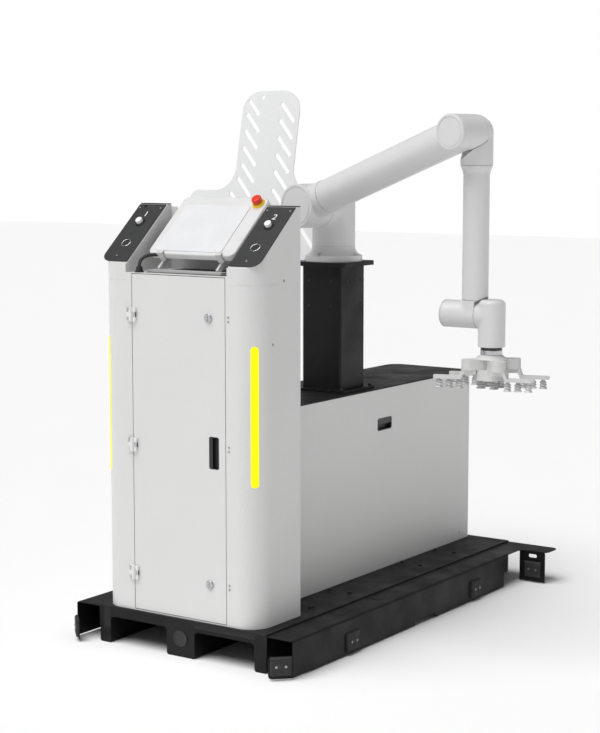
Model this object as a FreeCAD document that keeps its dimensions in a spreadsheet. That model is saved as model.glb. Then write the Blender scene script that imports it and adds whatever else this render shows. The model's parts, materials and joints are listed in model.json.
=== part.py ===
"""Mobile palletising station: fork-pocket base, control cabinet, column, six-axis arm, vacuum gripper.

Frame: millimetres, +Z up, +X to the right and +Y to the rear when the cabinet door is faced.
The origin is the centre of the base's footprint, on the floor.
"""
import FreeCAD
import Part
import Sketcher
import math
import os

doc = FreeCAD.newDocument("palletising_station")
V = FreeCAD.Vector
UP, RIGHT, REAR = V(0, 0, 1), V(1, 0, 0), V(0, 1, 0)
TURN = {"z": (UP, 0), "x": (REAR, 90), "y": (RIGHT, -90)}

# Driving dimensions, in millimetres and degrees. "x", "y", "z" in a name say which way it is measured.
DIMENSIONS = {
    # base
    "deck_width": 800, "deck_length": 1922, "deck_top": 148, "deck_sheet": 5, "side_leg": 53,
    "middle_leg": 134, "beam_depth": 40, "beam_height": 36, "beam_round": 16, "plug_radius": 32,
    "foot_round": 10,
    "skirt_half": 520, "skirt_sheet": 3, "skirt_top": 142.5, "skirt_low": 5, "skirt_rear": 720,
    "skirt_lip": 60, "fold_length": 65, "fold_top": 90, "stop_front": 848, "stop_half": 650,
    "rubber": 12, "leg_wall": 8, "drain_radius": 15,
    # control cabinet
    "cab_x": -20, "cab_width": 744, "cab_front": -950, "cab_back": -665, "cab_top": 1710,
    "cab_sheet": 3, "cab_round": 90, "wing_width": 133, "wing_front": -942, "wing_low": 1494,
    "slope": 40.6, "slope_back": -690, "panel_round": 40, "panel_sheet": 4, "tray_floor": 1460,
    "tray_notch": 1640,
    "door_left": -229, "door_right": 210, "door_low": 155, "door_high": 1455, "door_depth": 22,
    "door_gap": 2.5, "door_sheet": 3, "cover_seam": 1431, "cover_end": -800, "groove": 1.2,
    "hinge_y": -958.5, "pin_radius": 4, "pin_fit": 0.05,
    "leaf_width": 21, "leaf_height": 53, "latch_radius": 17, "latch_fit": 0.05,
    "button_radius": 14, "button_fit": 0.5, "button_x": 307, "push_t": 222, "ring_t": 106,
    "pull_x": 157, "pull_width": 46, "pull_low": 740, "pull_high": 862, "pull_depth": 14,
    "light_low": 683, "light_high": 1207, "light_width": 30,
    # teach pendant, measured in the plane of the sloped panels: t runs up the slope
    "pend_left": -221, "pend_right": 186, "pend_low": 80, "pend_high": 404, "pend_face": -20,
    "pend_depth": 25, "pend_round": 28, "estop_x": 150, "estop_t": 368, "estop_radius": 20,
    "gland_x": -212, "cable_radius": 6.5,
    # guard plate, leaning back
    "guard_x": -456, "guard_y": 168, "guard_z": 1440, "guard_lean": 79, "guard_sheet": 4,
    "guard_half": 395, "guard_shoulder": 310, "guard_round": 44, "tower_half": 154.5, "tower_top": 754,
    "tower_round": 93, "tower_flare": 107, "slot_width": 19, "slot_pitch": 75.2, "slot_length": 116,
    "slot_turn": -48, "slot_x": 91, "post_side": 36, "post_depth": 40, "post_top": 1555,
    "post_left": -150, "post_right": -102,
    # low cabinet and column
    "low_half": 205, "low_rear": 928, "low_top": 921, "low_sheet": 3, "lid": 6, "low_round": 60,
    "column_x": 45, "column_y": 32, "column_side": 190, "column_wall": 8, "foot_side": 260,
    "foot_thick": 10, "column_top": 1464, "top_side": 257, "top_thick": 18,
    # robot arm: "out" is how far a face stands out along an axis towards the front
    "turn": -10, "base_radius": 120, "base_skirt": 25, "base_flare": 36, "bolt_ring": 103,
    "bolt_turn": 9, "base_seam": 1527, "neck": 90,
    "shoulder_z": 1695.6, "seam": 0.4, "bore": 36, "fit": 0.05, "wall": 4,
    "turret_out": 92, "shoulder_out": 226, "tube_out": 155, "tube_radius": 67.8, "tilt": 19.8,
    "root_length": 118, "arm_length": 862.3, "elbow_out": 239, "cap": 12,
    "housing_out": 86, "forearm_out": 73.6, "housing_radius": 62,
    "notch_gap": 0.7, "roll_seam": 123, "forearm_radius": 50.5, "forearm_taper": 30,
    "forearm_length": 692, "wrist_radius": 53, "wrist_left": 131.5, "wrist_seam": 19,
    "wrist_clear": 70, "tube_end": 57, "flange_offset": 73, "hand_radius": 52, "hand_up": 61,
    "hand_down": 119.7,
    # gripper, measured down from the wrist's bending axis
    "ring_radius": 41, "ring_low": 130.7, "adapter_radius": 42, "adapter_low": 148.7,
    "lobe_offset": 62, "lobe_radius": 29, "lobe_low": 204.7, "lobe_top": 165.7, "hub_radius": 67,
    "hub_low": 244.7, "swing": 15, "finger_length": 140, "finger_width": 34, "finger_drop": 25,
    "cup_pitch": 40, "cup_first": 37, "cup_radius": 15.5, "cup_low": 277.7,
}


class Size:
    """A size with its value and the spreadsheet expression that gives it."""

    def __init__(self, text, value):
        self.text, self.value = text, float(value)

    def _with(self, sign, other, swapped=False):
        other = size(other)
        a, b = (other, self) if swapped else (self, other)
        value = {"+": a.value + b.value, "-": a.value - b.value, "*": a.value * b.value}.get(sign)
        if sign == "/":
            value = a.value / b.value
        return Size(f"({a.text} {sign} {b.text})", value)

    def __add__(self, other):
        return self._with("+", other)

    def __radd__(self, other):
        return self._with("+", other, True)

    def __sub__(self, other):
        return self._with("-", other)

    def __rsub__(self, other):
        return self._with("-", other, True)

    def __mul__(self, other):
        return self._with("*", other)

    def __rmul__(self, other):
        return self._with("*", other, True)

    def __truediv__(self, other):
        return self._with("/", other)

    def __neg__(self):
        return Size(f"(-1 * {self.text})", -self.value)


def size(number):
    return number if isinstance(number, Size) else Size(f"{float(number):.6f}", number)


def sin(angle):
    return Size(f"sin({angle.text} * 1 deg)", math.sin(math.radians(angle.value)))


def cos(angle):
    return Size(f"cos({angle.text} * 1 deg)", math.cos(math.radians(angle.value)))


class Sheet:
    """The spreadsheet of driving dimensions; each is read as an attribute."""

    def __init__(self, values):
        self.cells = doc.addObject("Spreadsheet::Sheet", "dims")
        for row, (alias, number) in enumerate(values.items(), 1):
            self.cells.set(f"A{row}", alias)
            self.cells.set(f"B{row}", str(number))
            self.cells.setAlias(f"B{row}", alias)
            setattr(self, alias, Size(f"dims.{alias}", number))
        doc.recompute()


d = Sheet(DIMENSIONS)
nodes = []


def new(kind, label="piece"):
    return doc.addObject(kind, label)


def bind(thing, path, number):
    thing.setExpression(path, size(number).text)


def place(thing, at=(0, 0, 0), about=UP, angle=0):
    """Puts a thing at a point, turned by an angle in degrees about an axis; the numbers are bound."""
    turn = size(angle)
    thing.Placement = FreeCAD.Placement(V(0, 0, 0), FreeCAD.Rotation(about, turn.value))
    for name, number in zip("xyz", at):
        bind(thing, f"Placement.Base.{name}", number)
    if isinstance(angle, Size):
        bind(thing, "Placement.Rotation.Angle", angle)
    return thing


def box(low, high):
    """A block from its lowest to its highest corner."""
    b = new("Part::Box")
    for side, lo, hi in zip(("Length", "Width", "Height"), low, high):
        bind(b, side, size(hi) - size(lo))
    return place(b, low)


def rod(radius, length, at, along="z"):
    """A cylinder that starts at a point and runs along +X, +Y or +Z."""
    c = new("Part::Cylinder")
    bind(c, "Radius", radius)
    bind(c, "Height", length)
    axis, angle = TURN[along]
    place(c, at, axis, angle)
    return c


def taper(radius, end_radius, length, at, along="z"):
    c = new("Part::Cone")
    bind(c, "Radius1", radius)
    bind(c, "Radius2", end_radius)
    bind(c, "Height", length)
    axis, angle = TURN[along]
    place(c, at, axis, angle)
    return c


def joined(*parts):
    f = new("Part::MultiFuse")
    f.Shapes = list(parts)
    f.Refine = True
    return f


def shared(*parts):
    """The volume that all the parts have in common."""
    c = new("Part::MultiCommon")
    c.Shapes = list(parts)
    return c


def group(*parts):
    """Separate solids kept together in one node."""
    c = new("Part::Compound")
    c.Links = list(parts)
    return c


def less(base, *tools):
    c = new("Part::Cut")
    c.Base = base
    c.Tool = tools[0] if len(tools) == 1 else group(*tools)
    c.Refine = True
    return c


def ends(edge):
    """An edge's two ends, or for a full circle the corners of its box."""
    if len(edge.Vertexes) == 2:
        return edge.Vertexes[0].Point, edge.Vertexes[1].Point
    b = edge.BoundBox
    return V(b.XMin, b.YMin, b.ZMin), V(b.XMax, b.YMax, b.ZMax)


def rounded(base, radius, pick):
    """Rounds the edges that pick() accepts; pick is given an edge's two ends."""
    doc.recompute()
    f = new("Part::Fillet")
    f.Base = base
    r = size(radius).value
    f.Edges = [(i, r, r) for i, e in enumerate(base.Shape.Edges, 1) if pick(*ends(e))]
    return f


def standing(*corners):
    """A test for upright edges at the given plan corners, to a tenth of a millimetre."""
    spots = [(size(x).value, size(y).value) for x, y in corners]

    def test(a, b):
        upright = abs(a.x - b.x) < 0.1 and abs(a.y - b.y) < 0.1 and abs(a.z - b.z) > 1
        return upright and any(abs(a.x - x) < 0.1 and abs(a.y - y) < 0.1 for x, y in spots)

    return test


def node(label, thing, **placing):
    """Names a finished sub-part and, if asked, puts it in its place."""
    if placing:
        place(thing, **placing)
    thing.Label = label
    nodes.append(thing)
    return thing


def sketch(body, plane, outlines, circles=(), lift=0):
    """A sketch on one of a body's own planes: closed outlines of corners, and circles (x, y, radius)."""
    flat = [f for f in body.Origin.OriginFeatures if f.Role == plane][0]
    s = body.newObject("Sketcher::SketchObject", "Sketch")
    s.AttachmentSupport = [(flat, "")]
    s.MapMode = "FlatFace"
    bind(s, "AttachmentOffset.Base.z", lift)

    def pin(index, point, spot):
        for kind, number in zip(("DistanceX", "DistanceY"), spot):
            number = size(number)
            c = s.addConstraint(Sketcher.Constraint(kind, -1, 1, index, point, number.value))
            if "dims" in number.text:
                s.setExpression(f"Constraints[{c}]", number.text)

    for outline in outlines:
        first = s.GeometryCount
        spots = [V(size(x).value, size(y).value, 0) for x, y in outline]
        for a, b in zip(spots, spots[1:] + spots[:1]):
            s.addGeometry(Part.LineSegment(a, b), False)
        count = len(outline)
        for i in range(count):
            s.addConstraint(Sketcher.Constraint("Coincident", first + i, 2, first + (i + 1) % count, 1))
        for i, spot in enumerate(outline):
            pin(first + i, 1, spot)
    for x, y, radius in circles:
        c = s.addGeometry(Part.Circle(V(size(x).value, size(y).value, 0), UP, size(radius).value), False)
        pin(c, 3, (x, y))
        k = s.addConstraint(Sketcher.Constraint("Radius", c, size(radius).value))
        if "dims" in size(radius).text:
            s.setExpression(f"Constraints[{k}]", size(radius).text)
    return s


def new_body(label):
    b = new("PartDesign::Body", label)
    doc.recompute()
    return b


def pad(body, drawing, length, midplane=False):
    p = body.newObject("PartDesign::Pad", "Pad")
    p.Profile = drawing
    bind(p, "Length", length)
    p.Midplane = midplane
    doc.recompute()
    return p


def revolve(body, drawing, angle=360):
    r = body.newObject("PartDesign::Revolution", "Revolution")
    r.Profile = drawing
    r.ReferenceAxis = (drawing, ["V_Axis"])
    r.Angle = angle
    doc.recompute()
    return r


def soften(body, radius, pick):
    """A PartDesign fillet on the edges that pick() accepts."""
    base = body.Tip
    names = [f"Edge{i}" for i, e in enumerate(base.Shape.Edges, 1) if pick(*ends(e))]
    f = body.newObject("PartDesign::Fillet", "Fillet")
    f.Base = (base, names)
    bind(f, "Radius", radius)
    doc.recompute()
    return f


def turned(label, profile):
    """A body turned about its own Z axis from a profile of (radius, height) corners."""
    b = new_body(label)
    revolve(b, sketch(b, "XZ_Plane", [profile]))
    return b


# ---------------------------------------------------------------- base

def screw(at, about=UP, angle=0, radius=5.5, head=2.5):
    """A button-head screw with a hexagon socket; its head stands up from the given point."""
    dome = rounded(rod(radius, head, (0, 0, 0)), 0.45 * head, lambda a, b: min(a.z, b.z) > 0.5)
    doc.recompute()
    socket = new("Part::Prism")
    socket.Polygon = 6
    bind(socket, "Circumradius", 0.45 * size(radius))
    bind(socket, "Height", head)
    place(socket, (0, 0, 0.5 * size(head)))
    return place(less(dome, socket), at, about, angle)


def make_base():
    half, long = d.deck_width / 2, d.deck_length / 2
    under = d.deck_top - d.deck_sheet
    spots = [(318, -552), (322, -533), (229, -271), (320, -266), (225, 306), (318, 302), (226, 592),
             (318, 595)]
    spots += [(-x, y) for x, y in spots]

    deck = new_body("deck_plate")
    outline = [(-half, -long), (half, -long), (half, long), (-half, long)]
    pad(deck, sketch(deck, "XY_Plane", [outline], [(x, y, 5.5) for x, y in spots], under), d.deck_sheet)
    node("deck_plate", deck)

    legs = []
    for low, high in ((-half, d.side_leg - half), (-d.middle_leg / 2, d.middle_leg / 2),
                      (half - d.side_leg, half)):
        leg = box((low, -long, 0), (high, long, under))
        leg = rounded(leg, d.foot_round, lambda a, b: max(a.z, b.z) < 0.1 and abs(a.y - b.y) > 100)
        wall, middle = d.leg_wall, (size(low) + high) / 2
        inside = box((low + wall, wall - long, wall), (high - wall, long - wall, under - wall))
        drains = [rod(d.drain_radius, wall + 2, (middle, y, -1)) for y in (-600, 600)]
        legs.append(less(leg, inside, *drains))
    legs[1] = less(legs[1], rod(d.drain_radius, 2 * long + 2, (0, -long - 1, under / 2), "y"))

    beams = []
    for side in (-1, 1):
        for end in (-1, 1):
            inner, outer = d.middle_leg / 2 * side, (half - d.side_leg) * side
            front, rear = long * end, (long - d.beam_depth) * end
            left, right = (inner, outer) if side > 0 else (outer, inner)
            near, far = (front, rear) if end < 0 else (rear, front)
            sill = under - d.beam_height
            web = box((left, near, sill - d.beam_round), (right, far, under))
            opening = rounded(box((left, near - 1, 0), (right, far + 1, sill)), d.beam_round,
                              lambda a, b: min(a.z, b.z) > 1 and abs(a.y - b.y) > 1)
            beams.append(less(web, opening))
    node("base_frame", group(*legs, *beams))

    plugs = []
    for end in (-1, 1):
        start = -long - 3 if end < 0 else long
        disc = rod(d.plug_radius, 3, (0, start, under / 2), "y")
        dish = rod(d.plug_radius - 6, 1.5, (0, start if end < 0 else start + 1.5, under / 2), "y")
        plugs.append(less(disc, dish))
    node("leg_plugs", group(*plugs))

    bolts = [joined(screw((x, y, d.deck_top), radius=8.5, head=9), rod(5, 15, (x, y, d.deck_top - 14)))
             for x, y in spots]
    return bolts


def make_skirts():
    """Bent-sheet skirts along both sides, each with a folded front tab and a rear stop arm."""
    half, long = d.deck_width / 2, d.deck_length / 2
    side, sheet, top = d.skirt_half, d.skirt_sheet, d.skirt_top
    channel = new_body("skirt_channel")
    profile = [(half, d.skirt_lip), (half + sheet, d.skirt_lip), (half + sheet, top - sheet),
               (side - sheet, top - sheet), (side - sheet, d.skirt_low), (side, d.skirt_low), (side, top),
               (half, top)]
    pad(channel, sketch(channel, "XZ_Plane", [profile], lift=-d.skirt_rear), d.skirt_rear + long)
    soften(channel, 10, lambda a, b: abs(a.x - side.value) + abs(a.z - top.value) < 0.2
           and abs(b.x - side.value) + abs(b.z - top.value) < 0.2)

    tab = new_body("skirt_tab")
    fold = d.fold_length
    corners = [(side, -long), (side - fold, -long - fold),
               (side - fold - 0.707 * sheet, 0.707 * sheet - long - fold),
               (side - sheet, -long + 0.4 * sheet)]
    pad(tab, sketch(tab, "XY_Plane", [corners], lift=d.skirt_low), d.fold_top - d.skirt_low)
    end = (3 - long - fold).value
    soften(tab, 14, lambda a, b: max(a.y, b.y) < end and abs(a.z - b.z) < 1)

    arm = new_body("stop_arm")
    front, tip, r = d.stop_front, d.stop_half, 25
    corners = [(half, d.skirt_rear), (side, d.skirt_rear), (side, front - 30), (side + 9, front - 9),
               (side + 30, front), (tip - r, front), (tip - 7, front + 7), (tip, front + r),
               (tip, long - r), (tip - 7, long - 7), (tip - r, long), (half, long)]
    pad(arm, sketch(arm, "XY_Plane", [corners], lift=top - sheet), sheet)

    stop = new_body("stop_plate")
    corners = [(side - 5, d.skirt_low), (side + 120, d.skirt_low), (side + 120, top - sheet),
               (side - 5, top - sheet)]
    slot = [(side + 40, 112), (side + 80, 112), (side + 80, 128), (side + 40, 128)]
    pad(stop, sketch(stop, "XZ_Plane", [corners, slot], lift=-front - sheet), sheet)
    soften(stop, 7, lambda a, b: abs(a.y - b.y) > 1 and abs(a.z - b.z) < 1 and 100 < a.z < 135)

    cuts = [box((side - 2 * sheet, -84, 0), (side + sheet, 79, 21))]
    cuts += [box((half + sheet, y - 2, top - 2 * sheet), (half + 78, y + 2, top + sheet))
             for y in (-552, -280, 315, 581)]
    cuts.append(box((side - 2 * sheet, d.skirt_rear - 30, 0), (side + sheet, d.skirt_rear + 1, 75)))
    right = less(joined(channel, tab, arm, stop), *cuts)
    node("skirt_right", right)
    left = new("Part::Mirroring")
    left.Source = right
    left.Normal = RIGHT
    node("skirt_left", left)

    rubber, screws = [], []
    low, high, mid = 18, 88, 53
    for sign in (-1, 1):
        for y in (-560, 423):
            start = side if sign > 0 else -side - d.rubber
            block = box((start, y - 42, low), (start + d.rubber, y + 42, high))
            rubber.append(rounded(block, 8, lambda a, b: abs(abs(a.x) - (side + d.rubber).value) < 0.1
                                  and abs(abs(b.x) - (side + d.rubber).value) < 0.1))
            face = (side + d.rubber) * sign
            screws += [screw((face, y + s, mid), REAR, 90 * sign, 5, 2) for s in (-18, 18)]
        block = rounded(box((-40, -d.rubber, low), (40, 0, high)), 8,
                        lambda a, b: max(a.y, b.y) < -5)
        middle = ((side - fold / 2) * sign, -long - fold / 2)
        face = [screw((s, -d.rubber, mid), RIGHT, 90, 5, 2) for s in (-18, 18)]
        rubber.append(place(group(block), (*middle, 0), UP, 45 * sign))
        screws.append(place(group(*face), (*middle, 0), UP, 45 * sign))
        x = (side + 62) * sign
        block = box((x - 40, front - d.rubber, 25), (x + 40, front, 95))
        rubber.append(rounded(block, 8, lambda a, b: max(a.y, b.y) < (front - 5).value))
        screws += [screw((x + s, front - d.rubber, 60), RIGHT, 90, 5, 2) for s in (-18, 18)]
    node("bumper_pads", group(*rubber))
    return screws


# ---------------------------------------------------------------- control cabinet

def on_slope(thing):
    """Moves a thing drawn flat (X across, Y up the slope, Z off the panel) onto the sloped panels."""
    return place(group(thing), (0, d.wing_front, d.wing_low), RIGHT, d.slope)


def wedge(label, left, right, inset):
    """The wing's block above the tray, from one X to another, inset inside its front, slope and back."""
    run, rise = d.slope_back - d.wing_front, d.cab_top - d.wing_low
    b = new_body(label)
    front, back = d.cab_front + inset, d.cab_back - inset
    corners = [(front, d.tray_floor - 60), (back, d.tray_floor - 60), (back, d.cab_top - inset),
               (d.slope_back + 0.5 * inset, d.cab_top - inset),
               (d.wing_front + 0.5 * inset, d.cab_top - rise - inset), (front, d.wing_low - 1.2 * inset)]
    pad(b, sketch(b, "YZ_Plane", [corners], lift=left), size(right) - left)
    return b


def cabinet_block(inset):
    """The cabinet's outer or inner volume with rounded front corners and two sloped wings."""
    left, right = d.cab_x - d.cab_width / 2 + inset, d.cab_x + d.cab_width / 2 - inset
    front, back = d.cab_front + inset, d.cab_back - inset
    low = d.deck_top + inset
    block = rounded(box((left, front, low), (right, back, d.cab_top)), d.cab_round - inset,
                    standing((left, front), (right, front)))
    wings = joined(box((left, front, low), (right, back, d.tray_floor - inset)),
                   wedge("wing_left", left, left + d.wing_width - 2 * size(inset), inset),
                   wedge("wing_right", right - d.wing_width + 2 * size(inset), right, inset))
    return shared(block, wings)


def make_cabinet():
    sheet, gap = d.cab_sheet, d.door_gap
    left, right = d.cab_x - d.cab_width / 2, d.cab_x + d.cab_width / 2
    inner_left, inner_right = left + d.wing_width, right - d.wing_width
    doorway = box((d.door_left - gap, d.cab_front - 5, d.door_low - gap),
                  (d.door_right + gap, d.cab_front + 2 * sheet, d.door_high + gap))
    slots = [on_slope(rod(d.button_radius + 1, 60, (d.cab_x + s * d.button_x, t, -50)))
             for s in (-1, 1) for t in (d.push_t, d.ring_t)]
    band = box((left - 1, d.cab_front - 1, d.cover_seam), (right + 1, d.cover_end, d.cover_seam + d.groove))
    middle = box((inner_left, d.cab_front - 2, d.cover_seam - 1), (inner_right, 0, d.cover_seam + 3))
    seam = less(band, cabinet_block(d.groove), middle)
    shell = less(cabinet_block(0), cabinet_block(sheet), doorway, seam, *slots)
    back = box((inner_left, d.cab_back - sheet, d.tray_floor - 60), (inner_right, d.cab_back, d.tray_notch))
    rim, deep = gap + sheet, d.cab_front + d.door_depth
    jamb = box((d.door_left - rim, d.cab_front + 1, d.door_low - gap),
               (d.door_right + rim, deep + 5, d.tray_floor))
    step = box((d.door_left - gap, d.cab_front, d.door_low - rim),
               (d.door_right + gap, deep + 2, d.door_high + gap))
    hole = box((d.door_left + 18, d.cab_front, d.door_low + 18), (d.door_right - 18, 0, d.door_high - 18))
    jamb = less(jamb, step, hole)
    ears = [box((x, d.cab_back - sheet, d.tray_notch), (x + 30, d.cab_back, d.cab_top - 8))
            for x in (inner_left, inner_right - 30)]
    node("cabinet_shell", joined(shell, jamb, back, *ears))

    # lights follow the rounded corners
    strips = []
    for side in (-1, 1):
        x = d.cab_x + side * (d.cab_width / 2 - d.cab_round)
        y = d.cab_front + d.cab_round
        strip = less(rod(d.cab_round + 2.5, d.light_high - d.light_low, (x, y, d.light_low)),
                     rod(d.cab_round, d.light_high - d.light_low, (x, y, d.light_low)))
        width, r = d.light_width, d.light_width / 2
        mask = rounded(box((-r, -200, d.light_low), (r, 0, d.light_high)), 0.49 * width,
                       lambda a, b: abs(a.y - b.y) > 100)
        place(mask, (x, y, 0), UP, 45 * side)
        strips.append(shared(strip, mask))
    node("light_strips", group(*strips))

    bezels = []
    for name, x in (("left", -d.button_x), ("right", d.button_x)):
        middle = d.cab_x + x
        half, length = d.wing_width / 2 - 1, 327
        plate = box((middle - half, 6, d.fit), (middle + half, length, d.panel_sheet))
        outer = middle - half if name == "left" else middle + half
        plate = rounded(plate, d.panel_round, standing((outer, 6)))
        holes = [rod(d.button_radius + 1, 20, (middle, t, -5)) for t in (d.push_t, d.ring_t)]
        panel = less(plate, *holes)
        if name == "left":
            bump = rod(5, 7, (middle - 30, length - 12, d.panel_sheet - 0.01))
            panel = joined(panel, rounded(bump, 2, lambda a, b: min(a.z, b.z) > 8))
        over = box((middle - half, d.slope_back, d.cab_top),
                   (middle + half, d.cab_back, d.cab_top + d.panel_sheet))
        node(f"button_panel_{name}", group(on_slope(panel), over))
        for t, outer_radius, tall in ((d.push_t, 21, 6), (d.ring_t, 17, 2.5)):
            ring = less(taper(outer_radius, outer_radius - 2, tall, (middle, t, d.panel_sheet)),
                        rod(d.button_radius + d.button_fit, 40, (middle, t, 0)))
            sleeve = less(rod(d.button_radius + 1, 14, (middle, t, -10)),
                          rod(d.button_radius + d.button_fit, 40, (middle, t, -12)))
            bezels.append(joined(ring, sleeve))
    node("button_bezels", on_slope(group(*bezels)))

    # two push buttons and two illuminated ring buttons slide in their bezels
    for name, x in (("left", -d.button_x), ("right", d.button_x)):
        middle = d.cab_x + x
        cap = rounded(rod(d.button_radius, 28, (middle, d.push_t, -6)), 3,
                      lambda a, b: min(a.z, b.z) > 15)
        node(f"start_button_{name}", on_slope(cap))
        top = rod(d.button_radius, 12, (middle, d.ring_t, -6))
        groove = less(rod(d.button_radius - 3, 2, (middle, d.ring_t, 5.2)),
                      rod(d.button_radius - 5, 2, (middle, d.ring_t, 5.2)))
        node(f"ring_button_{name}", on_slope(less(top, groove)))

    # the robot's controller stands inside on the cabinet's floor
    case = rounded(box((-200, -860, d.deck_top + 30), (160, -700, 640)), 8,
                   lambda a, b: abs(a.z - b.z) > 100)
    vents = [box((-170, -870, z), (130, -857, z + 8)) for z in range(240, 600, 24)]
    feet = [box((x, -850, d.deck_top + sheet), (x + 40, -710, d.deck_top + 30)) for x in (-190, 110)]
    node("controller_unit", joined(less(case, *vents), *feet))

    screws = []
    for z in (1303, 821, 299):
        screws += [screw((226, d.cab_front, z + s), RIGHT, 90, 4, 2) for s in (-8, 8)]
    screws += [screw((right, y, z), REAR, 90, 5, 2) for y, z in ((-774, 1441), (-846, 1210))]
    screws += [on_slope(group(screw((d.cab_x + side * (d.button_x + s), 305, d.panel_sheet), radius=4),
                              screw((d.cab_x + side * (d.button_x - s), 305, d.panel_sheet), radius=4),
                              screw((d.cab_x + side * d.button_x, 34, d.panel_sheet), radius=4)))
               for side in (-1, 1) for s in (52,)]
    return screws


def make_door():
    left, right, low, high = d.door_left, d.door_right, d.door_low, d.door_high
    front, sheet = d.cab_front, d.door_sheet
    slab = box((left, front, low), (right, front + d.door_depth, high))
    tray = box((left + sheet, front + sheet, low + sheet),
               (right - sheet, front + d.door_depth + 1, high - sheet))
    handle = rounded(box((d.pull_x - d.pull_width / 2, front - 1, d.pull_low),
                         (d.pull_x + d.pull_width / 2, front + sheet + 1, d.pull_high)), 8,
                     lambda a, b: abs(a.y - b.y) > 1)
    latch_z = (1304, 298)
    holes = [rod(d.latch_radius - 5 + d.latch_fit, 30, (135, front - 5, z), "y") for z in latch_z]
    node("cabinet_door", less(slab, tray, handle, *holes))

    cup = rounded(box((d.pull_x - d.pull_width / 2 + 0.2, front, d.pull_low + 0.2),
                      (d.pull_x + d.pull_width / 2 - 0.2, front + d.pull_depth + 3, d.pull_high - 0.2)), 7.8,
                  lambda a, b: abs(a.y - b.y) > 1)
    bowl = rounded(box((d.pull_x - d.pull_width / 2 + 3, front - 5, d.pull_low + 3),
                       (d.pull_x + d.pull_width / 2 - 3, front + d.pull_depth, d.pull_high - 3)), 6,
                   lambda a, b: abs(a.y - b.y) > 1)
    grip = box((d.pull_x - d.pull_width / 2 + 2, front, d.pull_low + 4),
               (d.pull_x - 6, front + 3, d.pull_high - 4))
    node("door_pull", joined(less(cup, bowl), grip))

    # block hinges: a fixed leaf with the barrel's ends, a door leaf with its middle, one pin in both
    leaves, knuckles = [], []
    r = d.pin_radius
    for z in (1301, 800, 298):
        base, tall = z - d.leaf_height / 2, d.leaf_height
        barrel = r + 3.5
        for start, length, own in ((0, tall / 3 - 0.4, "fixed"), (tall / 3, tall / 3, "door"),
                                   (2 * tall / 3 + 0.4, tall / 3 - 0.4, "fixed")):
            ring = rod(barrel, length, (left, d.hinge_y, base + start))
            far = -d.leaf_width if own == "fixed" else d.leaf_width
            x0, x1 = (left + far, left) if own == "fixed" else (left, left + far)
            strap = box((x0, d.hinge_y - 1, base + start), (x1, front, base + start + length))
            (leaves if own == "fixed" else knuckles).append(joined(ring, strap))
        pin = rod(r, tall + 2, (left, d.hinge_y, base - 1))
        clear = rod(r + d.pin_fit, tall + 4, (left, d.hinge_y, base - 2))
        knuckles[-1] = less(knuckles[-1], clear)
        fixed = [less(leaf, rod(r, tall + 4, (left, d.hinge_y, base - 2))) for leaf in leaves[-2:]]
        leaves[-2:] = [joined(*fixed, pin)]
    node("hinge_leaves", group(*leaves))
    node("hinge_knuckles", group(*knuckles))

    for name, z in zip(("upper", "lower"), latch_z):
        head = rounded(rod(d.latch_radius, 6, (135, front - 6.3, z), "y"), 2.5,
                       lambda a, b: max(a.y, b.y) < front.value - 5)
        slot = box((135 - 1.5, front - 8, z - 11), (135 + 1.5, front - 4.3, z + 11))
        shaft = rod(d.latch_radius - 5, d.door_depth + 8, (135, front - 1, z), "y")
        inner = front + d.door_depth + 6
        cam = rounded(box((135 - 11, inner, z - 66), (135 + 11, inner + 3, z + 11)), 8,
                      lambda a, b: abs(a.y - b.y) > 1)
        node(f"latch_{name}", joined(less(head, slot), shaft, cam))


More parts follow.
